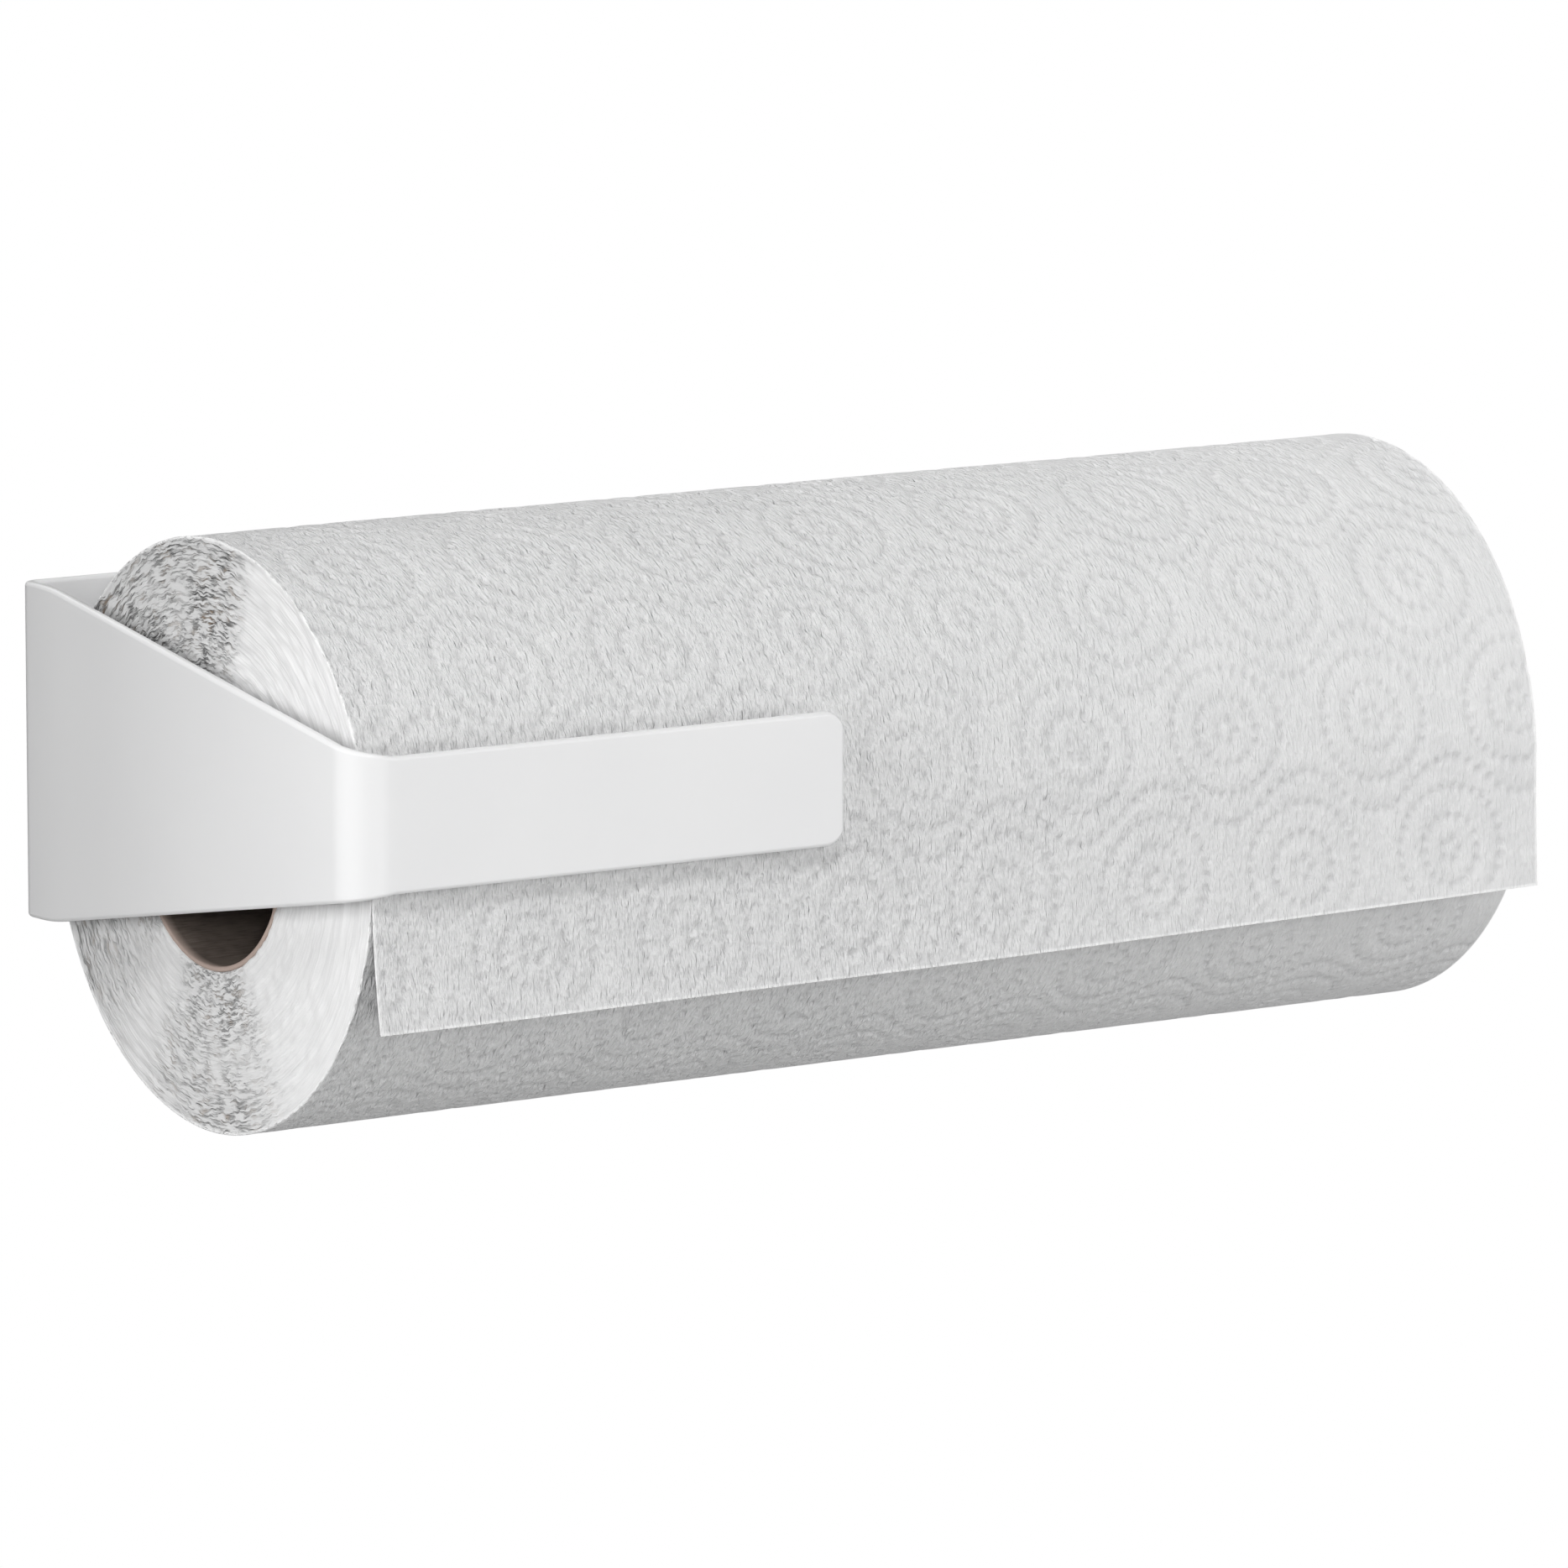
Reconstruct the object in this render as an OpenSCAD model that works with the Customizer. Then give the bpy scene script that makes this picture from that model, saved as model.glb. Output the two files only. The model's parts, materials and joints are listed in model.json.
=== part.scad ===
// Wall-mounted paper towel holder, folded from one sheet of steel, with a roll of paper on it.
// X runs along the roll towards its free end, Y points into the wall, Z is up.
// The origin is the middle of the four screw holes, on the face that lies against the wall.

/* [Paper roll] */
// Outside diameter of the full roll
roll_d = 108; // [80:1:130]
// Length of the roll
roll_l = 260; // [200:1:300]
// Outside diameter of the cardboard core
core_d = 49; // [36:0.5:56]
// Wall of the cardboard core
core_wall = 1; // [0.5:0.1:2]
// Thickness of the loose sheet, with its embossing
paper_t = 0.5; // [0.3:0.1:1]
// How far the loose sheet hangs below the roll's axis
sheet_drop = 28; // [10:1:120]

/* [Bracket] */
// Thickness of the sheet steel
steel_t = 2; // [1.6:0.1:3]
// Length of the back plate
plate_l = 150; // [120:1:240]
// Height of the back plate
plate_h = 62; // [55:1:90]
// Length of the front strip, from the outside of the side plate
strip_l = 104; // [60:1:200]
// Height of the front strip
strip_h = 24.5; // [16:0.5:40]
// Depth from the wall over which the side plate keeps its full height
full_depth = 10; // [6:0.5:20]
// Inside radius of the bend at the back
back_bend_r = 1.2; // [0.8:0.1:4]
// Inside radius of the bend at the front
front_bend_r = 6; // [2:0.5:12]
// Radius of the arc where the side plate starts to taper
shoulder_r = 50; // [10:1:60]
// Radius of the corners at the free ends
corner_r = 4; // [1:0.5:8]

/* [Wall screws] */
// Distance between the screw holes along the roll
hole_span_x = 100; // [60:1:110]
// Distance between the screw holes in height
hole_span_z = 36; // [32:1:44]
// Diameter of the screw holes
hole_d = 4.5; // [4:0.1:6]
// Diameter of the countersink
sink_d = 7.5; // [6.5:0.1:8]

/* [Rod] */
// Outside diameter of the rod
rod_d = 28; // [18:0.5:34]
// Wall of the rod
rod_wall = 1.5; // [1:0.1:2.5]
// How far the rod's end stays inside the roll's free end
rod_short = 5; // [2:1:40]
// Length of the spigot inside the rod
spigot_l = 20; // [14:0.5:40]
// Diameter of the weld stud
stud_d = 6; // [4:0.5:8]
// Length of the weld stud
stud_l = 14; // [8:0.5:30]
// Diameter of the grub screw
grub_d = 4; // [3:0.5:5]
// Outside diameter of the spacer collar
collar_d = 38; // [34:0.5:44]
// Thickness of the spacer collar
collar_t = 3; // [2:0.5:8]

/* [Clearances] */
// Gap between the full roll and the back plate
wall_gap = 0.8; // [0.5:0.1:10]
// Gap between curved or moving parts that touch lightly
touch_gap = 0.3; // [0.2:0.05:0.5]
// Gap between the spigot and the things it passes through
spigot_gap = 0.05; // [0.02:0.01:0.2]

/* [Hidden] */
$fn = 96;
eps = 0.01;

// Places along the roll
side_x = -plate_l / 2;
inner_x = side_x + steel_t;
roll_x = inner_x + collar_t + touch_gap;
rod_x = inner_x + collar_t;
rod_end_x = roll_x + roll_l - rod_short;

// The strip stands off the loose sheet far enough for the sheet's edge to clear the front bend
edge_in_bend = max(0, front_bend_r - (roll_x - inner_x));
strip_gap = front_bend_r - sqrt(pow(front_bend_r - touch_gap, 2) - pow(edge_in_bend, 2));

// Depths, measured from the wall
axis_depth = steel_t + wall_gap + roll_d / 2;
sheet_depth = axis_depth + roll_d / 2 + touch_gap;
strip_depth = sheet_depth + paper_t + strip_gap;
depth = strip_depth + steel_t;

// The core hangs on the rod, so the roll's axis is below the rod's
core_hole_d = core_d - 2 * core_wall;
roll_z = -(core_hole_d / 2 - rod_d / 2 - touch_gap);

// Bracket outline
back_bend_out = back_bend_r + steel_t;
front_bend_out = front_bend_r + steel_t;

// The taper is straight in the flat blank, so it follows the steel round the front bend to the strip
bend_mid_r = front_bend_r + steel_t / 2;
flat_end = depth - front_bend_out;
taper_l = flat_end - full_depth + bend_mid_r * PI / 2;
taper_slope = (plate_h - strip_h) / 2 / taper_l;
taper_angle = atan(taper_slope);
shoulder_run = shoulder_r * tan(taper_angle / 2);
arc_steps = 8;

// Rod fittings
rod_bore = rod_d - 2 * rod_wall;
spigot_d = rod_bore - 2 * spigot_gap;
stud_flange_d = stud_d + 1.4;
stud_flange_t = 0.8;
relief_d = stud_flange_d + 0.6;
relief_t = stud_flange_t + 0.2;
grub_x = rod_x + (spigot_l - collar_t) / 2;
grub_sunk = 0.4;
grub_clear = 0.2;
grub_hex = grub_d / 2;
grub_hex_l = 2;
plug_lip = 1.5;
plug_dome = 2.5;
plug_l = 12;
plug_wall = 1.5;
plug_ribs = 6;
rib_h = 0.6;
rod_l = rod_end_x - plug_lip - plug_dome - rod_x;

// A cylinder along X, from x, around the rod's axis
module along_x(d, l, x) {
    translate([x, -axis_depth, 0])
        rotate([0, 90, 0])
            cylinder(d = d, h = l);
}

// A ring along X, from x, around the rod's axis
module ring_x(d_out, d_in, l, x) {
    difference() {
        along_x(d_out, l, x);
        along_x(d_in, l + 2, x - 1);
    }
}

// What rounding takes off a left corner in the XY plane: the back one, or the front one mirrored
module bend_waste(r) {
    difference() {
        translate([-1, -r])
            square([r + 1, r + 1]);
        translate([r, -r])
            circle(r = r);
    }
}

// Everything within the sheet's outer face, or its inner face when inset by the steel
module inside_bends(inset, back_r, front_r) {
    reach = max(plate_l, strip_l) + 1;
    difference() {
        translate([side_x + inset, -depth + inset])
            square([reach, depth - 2 * inset]);
        translate([side_x + inset, -inset])
            bend_waste(back_r);
        translate([side_x + inset, -depth + inset])
            mirror([0, 1])
                bend_waste(front_r);
    }
}

// The folded sheet from above: back plate, side plate and front strip
module folded_profile() {
    difference() {
        inside_bends(0, back_bend_out, front_bend_out);
        inside_bends(steel_t, back_bend_r, front_bend_r);
        translate([side_x + plate_l, -depth / 2])
            square([strip_l + 2, depth]);
        translate([side_x + strip_l, -depth * 3 / 2])
            square([plate_l + 2, depth]);
    }
}

// Points of an arc from angle a0 to a1
function arc(centre, r, a0, a1) = [
    for (i = [0 : arc_steps])
        let (a = a0 + (a1 - a0) * i / arc_steps)
            centre + r * [cos(a), sin(a)]
];

// Upper edge round the front bend, as far as the strip
bend_edge = [
    for (i = [0 : arc_steps])
        let (
            turned = 90 * i / arc_steps,
            ahead = bend_mid_r * (90 - turned) * PI / 180
        )
        [flat_end + bend_mid_r * sin(turned), strip_h / 2 + taper_slope * ahead]
];

// Upper edge of the side plate: full height at the wall, tapering round the bend to the strip
upper_edge = concat(
    [[-eps, plate_h / 2]],
    arc([full_depth - shoulder_run, plate_h / 2 - shoulder_r], shoulder_r, 90, 90 - taper_angle),
    bend_edge,
    [[depth + eps, strip_h / 2]]
);

// The bracket's outline from the side, in depth and height, the same above and below
module side_outline() {
    lower_edge = [for (i = [len(upper_edge) - 1 : -1 : 0]) [upper_edge[i].x, -upper_edge[i].y]];
    polygon(concat(upper_edge, lower_edge));
}

// What a rounded corner takes off, from the corner inwards, along Y
module corner_waste(x, y, z, up) {
    translate([x, y, z])
        mirror([0, 0, up ? 0 : 1])
            difference() {
                translate([-corner_r, 0, -corner_r])
                    cube([corner_r + 1, steel_t + 2, corner_r + 1]);
                translate([-corner_r, -1, -corner_r])
                    rotate([-90, 0, 0])
                        cylinder(r = corner_r, h = steel_t + 4);
            }
}

// Both corners at a free end of the sheet
module end_waste(x, y, height) {
    for (up = [true, false])
        corner_waste(x, y, (up ? 1 : -1) * height / 2, up);
}

// A countersunk screw hole through the back plate
module screw_hole() {
    rotate([90, 0, 0]) {
        translate([0, 0, -1])
            cylinder(d = hole_d, h = steel_t + 2);
        translate([0, 0, steel_t - (sink_d - hole_d) / 2])
            cylinder(d1 = hole_d, d2 = sink_d + 2, h = (sink_d - hole_d) / 2 + 1);
    }
}

// Bracket: one sheet, folded twice
module wall_bracket() {
    color("white")
        difference() {
            intersection() {
                translate([0, 0, -plate_h / 2])
                    linear_extrude(height = plate_h)
                        folded_profile();
                translate([side_x - 1, 0, 0])
                    rotate([90, 0, 90])
                        linear_extrude(height = max(plate_l, strip_l) + 2)
                            mirror([1, 0])
                                side_outline();
            }
            end_waste(side_x + plate_l, -steel_t - 1, plate_h);
            end_waste(side_x + strip_l, -depth - 1, strip_h);
            for (x = [-1, 1], z = [-1, 1])
                translate([x * hole_span_x / 2, 0, z * hole_span_z / 2])
                    screw_hole();
        }
}

// Threaded stud, welded to the inside of the side plate by its flange
module weld_stud() {
    color("peru") {
        along_x(stud_flange_d, stud_flange_t, inner_x);
        along_x(stud_d, stud_l, inner_x);
    }
}

// Turned plug on the stud, which carries the rod
module rod_spigot() {
    color("silver")
        difference() {
            along_x(spigot_d, spigot_l, inner_x);
            along_x(stud_d, spigot_l + 2, inner_x - 1);
            along_x(relief_d, relief_t + 1, inner_x - 1);
            translate([grub_x, -axis_depth, -rod_d / 2])
                cylinder(d = grub_d, h = rod_d / 2);
        }
}

// Grub screw that locks the rod to the spigot from below, with its hexagon socket
module grub_screw() {
    top_z = -stud_d / 2 - touch_gap;
    low_z = -rod_d / 2 + grub_sunk;
    color("dimgray")
        translate([grub_x, -axis_depth, low_z])
            difference() {
                cylinder(d = grub_d, h = top_z - low_z);
                translate([0, 0, -1])
                    cylinder(d = grub_hex, h = grub_hex_l + 1, $fn = 6);
            }
}

// Plastic ring at the rod's root, which keeps the paper off the side plate
module spacer_collar() {
    color("gainsboro")
        ring_x(collar_d, spigot_d + 2 * spigot_gap, collar_t, inner_x);
}

// Steel tube that the core hangs on
module roll_rod() {
    color("silver")
        difference() {
            ring_x(rod_d, rod_bore, rod_l, rod_x);
            translate([grub_x, -axis_depth, -rod_d / 2 - 1])
                cylinder(d = grub_d + grub_clear, h = rod_wall + 2);
        }
}

// Domed plastic plug in the rod's free end
module end_plug() {
    lip_x = rod_x + rod_l;
    dome_r = (rod_d * rod_d / 4 + plug_dome * plug_dome) / (2 * plug_dome);
    color("gainsboro") {
        along_x(rod_d, plug_lip, lip_x);
        intersection() {
            translate([lip_x + plug_lip + plug_dome - dome_r, -axis_depth, 0])
                rotate([0, 90, 0])
                    sphere(r = dome_r);
            along_x(rod_d, plug_dome + 1, lip_x + plug_lip);
        }
        ring_x(rod_bore - 2 * rib_h, rod_bore - 2 * rib_h - 2 * plug_wall, plug_l, lip_x - plug_l);
        for (i = [0 : plug_ribs - 1])
            intersection() {
                ring_x(rod_bore, rod_bore - 2 * rib_h - plug_wall, plug_l, lip_x - plug_l);
                translate([lip_x - plug_l, -axis_depth, 0])
                    rotate([i * 360 / plug_ribs, 0, 0])
                        translate([0, -plug_wall / 2, 0])
                            cube([plug_l, plug_wall, rod_d]);
            }
    }
}

// Free end of the paper, hanging from the front of the roll
module loose_sheet() {
    color("whitesmoke")
        translate([roll_x, -sheet_depth - paper_t, roll_z - sheet_drop])
            cube([roll_l, paper_t, sheet_drop]);
}

// Wound paper
module paper_roll() {
    color("whitesmoke")
        translate([0, 0, roll_z])
            ring_x(roll_d, core_d, roll_l, roll_x);
}

// Cardboard tube inside the paper
module cardboard_core() {
    color("rosybrown")
        translate([0, 0, roll_z])
            ring_x(core_d, core_hole_d, roll_l, roll_x);
}

wall_bracket();
weld_stud();
rod_spigot();
grub_screw();
spacer_collar();
roll_rod();
end_plug();
loose_sheet();
paper_roll();
cardboard_core();
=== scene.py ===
"""Looks of the wall-mounted paper towel holder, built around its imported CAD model.

Metres throughout. X runs along the roll to its free end, Y points into the wall, Z is up.
"""

import json
from math import atan, cos, pi, radians, sin, sqrt, tan

import bpy
import numpy as np
from mathutils import Matrix, Vector


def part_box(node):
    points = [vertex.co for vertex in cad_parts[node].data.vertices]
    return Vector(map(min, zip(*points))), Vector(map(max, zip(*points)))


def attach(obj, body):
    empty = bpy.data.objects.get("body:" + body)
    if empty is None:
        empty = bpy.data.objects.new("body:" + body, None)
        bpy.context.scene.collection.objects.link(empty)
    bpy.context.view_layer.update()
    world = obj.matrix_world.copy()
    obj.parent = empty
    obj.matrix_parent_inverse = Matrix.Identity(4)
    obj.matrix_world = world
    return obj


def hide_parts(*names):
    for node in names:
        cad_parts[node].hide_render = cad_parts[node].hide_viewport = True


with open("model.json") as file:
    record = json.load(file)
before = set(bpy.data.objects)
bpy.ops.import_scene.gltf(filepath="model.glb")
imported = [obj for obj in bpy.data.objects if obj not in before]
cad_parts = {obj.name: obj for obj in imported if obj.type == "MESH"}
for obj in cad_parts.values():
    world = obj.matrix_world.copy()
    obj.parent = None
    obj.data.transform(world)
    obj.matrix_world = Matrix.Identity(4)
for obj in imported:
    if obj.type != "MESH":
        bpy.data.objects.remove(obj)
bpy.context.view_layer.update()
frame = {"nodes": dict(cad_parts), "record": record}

MM = 0.001

# The bracket: one steel sheet, folded twice
bracket_low, bracket_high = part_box("wall_bracket")
STEEL_T = 2 * MM
HALF_T = STEEL_T / 2
EDGE_R = 0.8 * MM  # how round the cut edges are under the powder coat
BACK_BEND_R = 3.2 * MM  # outside radius of the bend at the wall
FRONT_BEND_R = 8 * MM  # outside radius of the bend at the strip
BEND_MID_R = FRONT_BEND_R - HALF_T
STRIP_L = 104 * MM  # from the outside of the side plate
STRIP_H = 24.5 * MM
FULL_DEPTH = 10 * MM  # the side plate tapers from here on
SHOULDER_R = 50 * MM  # of the arc where the taper starts
CORNER_R = 4 * MM
SINK_D = 7.5 * MM  # countersink of the screw holes

# Spacing of the bracket's mesh along the folded steel
CORNER_STEPS = 12
BACK_STEPS = 12
BACK_BEND_STEPS = 12
SHOULDER_START = 4.5 * MM
SHOULDER_STEP = 1 * MM
SHOULDER_STEPS = 12
TAPER_STEP = 7 * MM
TAPER_STEPS = 12
FRONT_BEND_STEPS = 16
STRIP_STEPS = 10

# The roll and its core
roll_low, roll_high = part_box("paper_roll")
core_low, core_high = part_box("cardboard_core")
roll_middle = (roll_low + roll_high) / 2
ROLL_L = roll_high.x - roll_low.x
ROLL_R = (roll_high.z - roll_low.z) / 2
CORE_R = (core_high.z - core_low.z) / 2
LAYERS_MEAN_R = (ROLL_R + CORE_R) / 2
MESH_STEP = 0.55 * MM  # spacing of the paper's mesh, fine enough for its embossed dots
LAYER_STEP = 0.6 * MM  # spacing of the mesh across the roll's ends
RIM_R = 0.4 * MM  # how round the roll's outer edges are
RIM_STEPS = 4
OUTSIDE, RIM, RIGHT_END, LEFT_END = range(4)  # kinds of points in the roll's profile
SWELL = 0.12 * MM  # how far the roll's surface rises and falls
SWELL_SMOOTH = 30  # mesh steps over which it does so
SWELL_FADE = 20 * MM  # it grows from nothing over this distance from the loose sheet
END_WAVE = 0.12 * MM  # depth of the waves in the cut layers
CALM_RIM = 1.2 * MM  # the outermost layers are pressed flat over this width

# The embossing: rings of dots in staggered rows, with a wavy line of dots between the rows
MOTIF_PITCH_X = 34.3 * MM
MOTIF_PITCH_S = 26.7 * MM
MOTIF_FIRST_X = 33.6 * MM  # a motif's place from the roll's end, in the row at MOTIF_FIRST_S
MOTIF_FIRST_S = 36 * MM  # that row's place round the roll, upwards from its front
RINGS = ((12 * MM, 30), (6.5 * MM, 16), (2 * MM, 5))  # radius and number of dots
WAVE_H = 4.5 * MM
WAVE_DOTS = 14  # dots in one wave
DOT_R = 0.55 * MM
DOT_DEPTH = 0.62 * MM
QUILT_R = 1.5 * MM
QUILT_DEPTH = 0.05 * MM
WANDER = 0.3 * MM  # how far soft paper lets the pattern wander, and up to twice that at the left
WANDER_L = 0.6 * ROLL_L  # the extra part ends here
WANDER_X = ((9 * MM, 13 * MM), (31 * MM, -7 * MM))  # lengths of the waves along and round the roll
WANDER_S = ((11 * MM, -17 * MM), (6 * MM, 29 * MM))

# The loose sheet
sheet_low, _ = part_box("loose_sheet")
SHEET_T = 0.38 * MM
SHEET_OVERLAP = 14 * MM  # how far up the roll it is lifted off the layer below
SHEET_LIFT = 0.5 * MM  # its outer face over the roll, where it leaves it
SHEET_SEAT = 0.02 * MM  # its outer face over the roll, at its top edge
SHEET_SINK = 0.01 * MM  # how deep its inner face lies in the roll there
SHEET_LEAN = 2.6 * MM  # how far its lower left corner stands forward
SHEET_LEAN_LOST = 0.7  # share of the lean that is gone at the right end
SHEET_RISE = 2 * MM  # how much higher its lower edge is at the right end
RIPPLE = 0.25 * MM
RIPPLE_L = 17 * MM
EDGE_HIGHLIGHT_W = 0.45 * MM  # width of the painted highlight along a cut edge
CALM_EDGE_W = 1.5 * MM  # the embossing fades out this near to the sheet's cut edges

# The cardboard core: two plies wound to a spiral
CORE_WALL = 1 * MM
CORE_SIDES = 160
CORE_STEP = 1.6 * MM
CORE_CHAMFER = 0.25 * MM
CORE_PLAY = 0.05 * MM  # between the board and the paper
CORE_ROUGH = 0.08 * MM  # unevenness of the cut ends
SPIRAL_PITCH = 92 * MM
SEAM_AT = 3 * MM  # place of the ply's edge in each turn of the spiral
SEAM_W = 1.1 * MM
SEAM_H = 0.14 * MM

# Colours that more than one material uses
# White of the painted highlight along cut edges
EDGE_HIGHLIGHT_WHITE = (0.95, 0.95, 0.95)
# White of the painted highlight on raised crepe streaks and lump tops
RELIEF_HIGHLIGHT_WHITE = (0.9, 0.9, 0.9)

# The photo's angle: the camera stands to the left of the front and a little above, far off
CAMERA_AZIMUTH = radians(34.69)
CAMERA_ELEVATION = radians(8.94)
CAMERA_DISTANCE = 2.061
CAMERA_LENS = 254.7
CAMERA_SENSOR = 36
AIM_LEFT = 3.84 * MM  # of the roll's middle, as the camera sees it
AIM_DOWN = 2.14 * MM

# Square lamps: name, degrees to the left of the front, degrees up, distance, width, watts
LAMPS = (
    ("key", 31, 50, 2.6, 0.45, 19),
    ("camera_side", 31, 12, 2.6, 0.2, 5),
    ("left", 80, 15, 2.6, 1.6, 31),
    ("left_rear", 120, 15, 2.6, 1.6, 26),
    ("front", -20, 15, 2.6, 1.6, 8),
    ("right", -45, 10, 2.6, 1.6, 21),
    ("top", 0, 85, 2.4, 1.6, 9),
    ("back", 180, 50, 2.4, 1.6, 19),
    ("low", 10, -12, 2.2, 0.8, 10),
)
FLOOR_HALF = 30
FLOOR_DROP = 0.35  # below the bracket
FLAG_W = 149 * MM
FLAG_HALF_H = 0.2
FLAG_GAP = 1 * MM  # between the flag and the bracket, seen from the front
FLAG_BEHIND = 4 * MM  # how far it is behind the wall face


# ---------------------------------------------------------------- meshes

def make_piece(name, vertices, faces, materials, body, replaced):
    """A smooth-shaded mesh piece that rides on a body and stands for a CAD node."""
    mesh = bpy.data.meshes.new(name)
    mesh.from_pydata(vertices, [], faces)
    for material in materials:
        mesh.materials.append(material)
    mesh.polygons.foreach_set("use_smooth", [True] * len(mesh.polygons))
    mesh.update()
    piece = bpy.data.objects.new(name, mesh)
    bpy.context.scene.collection.objects.link(piece)
    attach(piece, body)
    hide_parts(replaced)
    return piece


def grid_faces(rows, columns, wrap_rows=False, wrap_columns=False, start=0):
    """Quads between the points of a grid that is stored row by row."""
    i = np.arange(rows if wrap_rows else rows - 1)[:, None]
    j = np.arange(columns if wrap_columns else columns - 1)[None, :]
    below = (i + 1) % rows
    beside = (j + 1) % columns
    corners = (i * columns + j, i * columns + beside, below * columns + beside, below * columns + j)
    return (np.stack(corners, -1).reshape(-1, 4) + start).tolist()


def grid_points(x, y, z):
    """The points of a grid, row by row, from coordinates that may vary along one way only."""
    return np.stack(np.broadcast_arrays(x, y, z), -1).reshape(-1, 3)


def ring_points(x, radius, angle):
    """Points round the roll's axis. Angle 0 is the front, and it grows upwards."""
    y = roll_middle.y - radius * np.cos(angle)
    z = roll_middle.z + radius * np.sin(angle)
    return grid_points(x, y, z)


def wavy(rng, rows, columns, row_smooth, column_smooth):
    """Smooth random heights on a grid that repeats both ways, with a spread of 1."""
    field = rng.standard_normal((rows, columns))
    across = np.fft.fftfreq(rows)[:, None] * row_smooth
    along = np.fft.fftfreq(columns)[None, :] * column_smooth
    field = np.fft.ifft2(np.fft.fft2(field) * np.exp(-2 * pi**2 * (across**2 + along**2))).real
    return field / field.std()


def store(piece, name, values):
    """Keeps a number for each vertex, which a material can read."""
    attribute = piece.data.attributes.new(name, "FLOAT", "POINT")
    attribute.data.foreach_set("value", np.asarray(values, np.float32).ravel())


# ---------------------------------------------------------------- embossing

def dot(distance_squared):
    """Depth of one pressed dot."""
    return DOT_DEPTH * np.exp(-distance_squared / (2 * DOT_R**2))


def groove(distance):
    """Depth of the shallow groove that a line of dots lies in."""
    return QUILT_DEPTH * np.exp(-((distance / QUILT_R) ** 2))


def row_start(row):
    """Where a row's first motif is along the roll: every other row is shifted by half a pitch."""
    return MOTIF_FIRST_X + (row % 2) * MOTIF_PITCH_X / 2


def ring_depth(x, s):
    """Depth of the rings of dots."""
    row = np.round((s - MOTIF_FIRST_S) / MOTIF_PITCH_S)
    v = s - MOTIF_FIRST_S - row * MOTIF_PITCH_S
    turn = (x - row_start(row)) / MOTIF_PITCH_X
    u = (turn - np.round(turn)) * MOTIF_PITCH_X
    far = np.hypot(u, v)
    round_it = np.arctan2(v, u) / (2 * pi)
    depth = np.zeros_like(far)
    for radius, dots in RINGS:
        place = round_it * dots
        beside = (place - np.round(place)) / dots * 2 * pi * radius
        depth += dot((far - radius) ** 2 + beside**2)
        depth += groove(far - radius)
    return depth


def wave_depth(x, s):
    """Depth of the wavy lines of dots between the rows."""
    line = np.floor((s - MOTIF_FIRST_S) / MOTIF_PITCH_S)
    line_s = MOTIF_FIRST_S + (line + 0.5) * MOTIF_PITCH_S
    wave = (x - row_start(line)) / MOTIF_PITCH_X * WAVE_DOTS
    nearest = np.round(wave)
    beside = (wave - nearest) / WAVE_DOTS * MOTIF_PITCH_X
    dot_s = line_s + WAVE_H * np.cos(2 * pi * nearest / WAVE_DOTS)
    wave_s = line_s + WAVE_H * np.cos(2 * pi * wave / WAVE_DOTS)
    return dot((s - dot_s) ** 2 + beside**2) + groove(s - wave_s)


def wander(x, s, waves):
    """A smooth drift, as the sum of one wave for each pair of lengths."""
    return sum(np.sin(x / along + s / around) for along, around in waves)


def emboss(x, s):
    """Depth of the embossing at x from the roll's end and s round the roll from its front."""
    reach = WANDER * (1 + np.clip(1 - x / WANDER_L, 0, 1))
    drifted_x = x + reach * wander(x, s, WANDER_X)
    drifted_s = s + reach * wander(x, s, WANDER_S)
    return ring_depth(drifted_x, drifted_s) + wave_depth(drifted_x, drifted_s)


# ---------------------------------------------------------------- shader nodes

def add(tree, kind, inputs=None, **settings):
    """A shader node with its settings and inputs."""
    node = tree.nodes.new(kind)
    for name, value in settings.items():
        setattr(node, name, value)
    for name, value in (inputs or {}).items():
        set_input(tree, node, name, value)
    return node


def set_input(tree, node, name, value):
    """Sets an input to a number, a colour or another node's output."""
    if isinstance(value, bpy.types.NodeSocket):
        tree.links.new(value, node.inputs[name])
    else:
        node.inputs[name].default_value = value


def new_material(name, colour, roughness, metallic=0.0):
    """A principled material, and its node tree and shader."""
    material = bpy.data.materials.new(name)
    material.use_nodes = True
    shader = material.node_tree.nodes["Principled BSDF"]
    shader.inputs["Base Color"].default_value = (*colour, 1)
    shader.inputs["Roughness"].default_value = roughness
    shader.inputs["Metallic"].default_value = metallic
    material.diffuse_color = (*colour, 1)
    return material, material.node_tree, shader


def position(tree):
    """Where a point of the piece lies at rest, in the shared frame."""
    return add(tree, "ShaderNodeTexCoord").outputs["Object"]


def position_x(tree):
    """How far along X a point of the piece lies at rest."""
    return add(tree, "ShaderNodeSeparateXYZ", {0: position(tree)}).outputs["X"]


def stored(tree, name):
    """A number that store() kept for each vertex."""
    return add(tree, "ShaderNodeAttribute", attribute_name=name).outputs["Fac"]


def grain(tree, sizes, detail=2.0, coordinates=None):
    """Noise whose grains measure about sizes along X, Y and Z."""
    scale = tuple(1 / size for size in sizes)
    place = coordinates or position(tree)
    mapping = add(tree, "ShaderNodeMapping", {"Vector": place, "Scale": scale})
    inputs = {"Vector": mapping.outputs["Vector"], "Scale": 1.0, "Detail": detail, "Roughness": 0.5}
    return add(tree, "ShaderNodeTexNoise", inputs).outputs["Fac"]


def even_grain(tree, size, detail=2.0, coordinates=None):
    """Noise whose grains measure about the same all ways."""
    return grain(tree, (size, size, size), detail, coordinates)


def ranged(tree, value, from_low, from_high, to_low=0.0, to_high=1.0):
    """A value carried from one range to another, and held between its ends."""
    inputs = {
        "Value": value, "From Min": from_low, "From Max": from_high, "To Min": to_low, "To Max": to_high,
    }
    return add(tree, "ShaderNodeMapRange", inputs).outputs["Result"]


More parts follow.
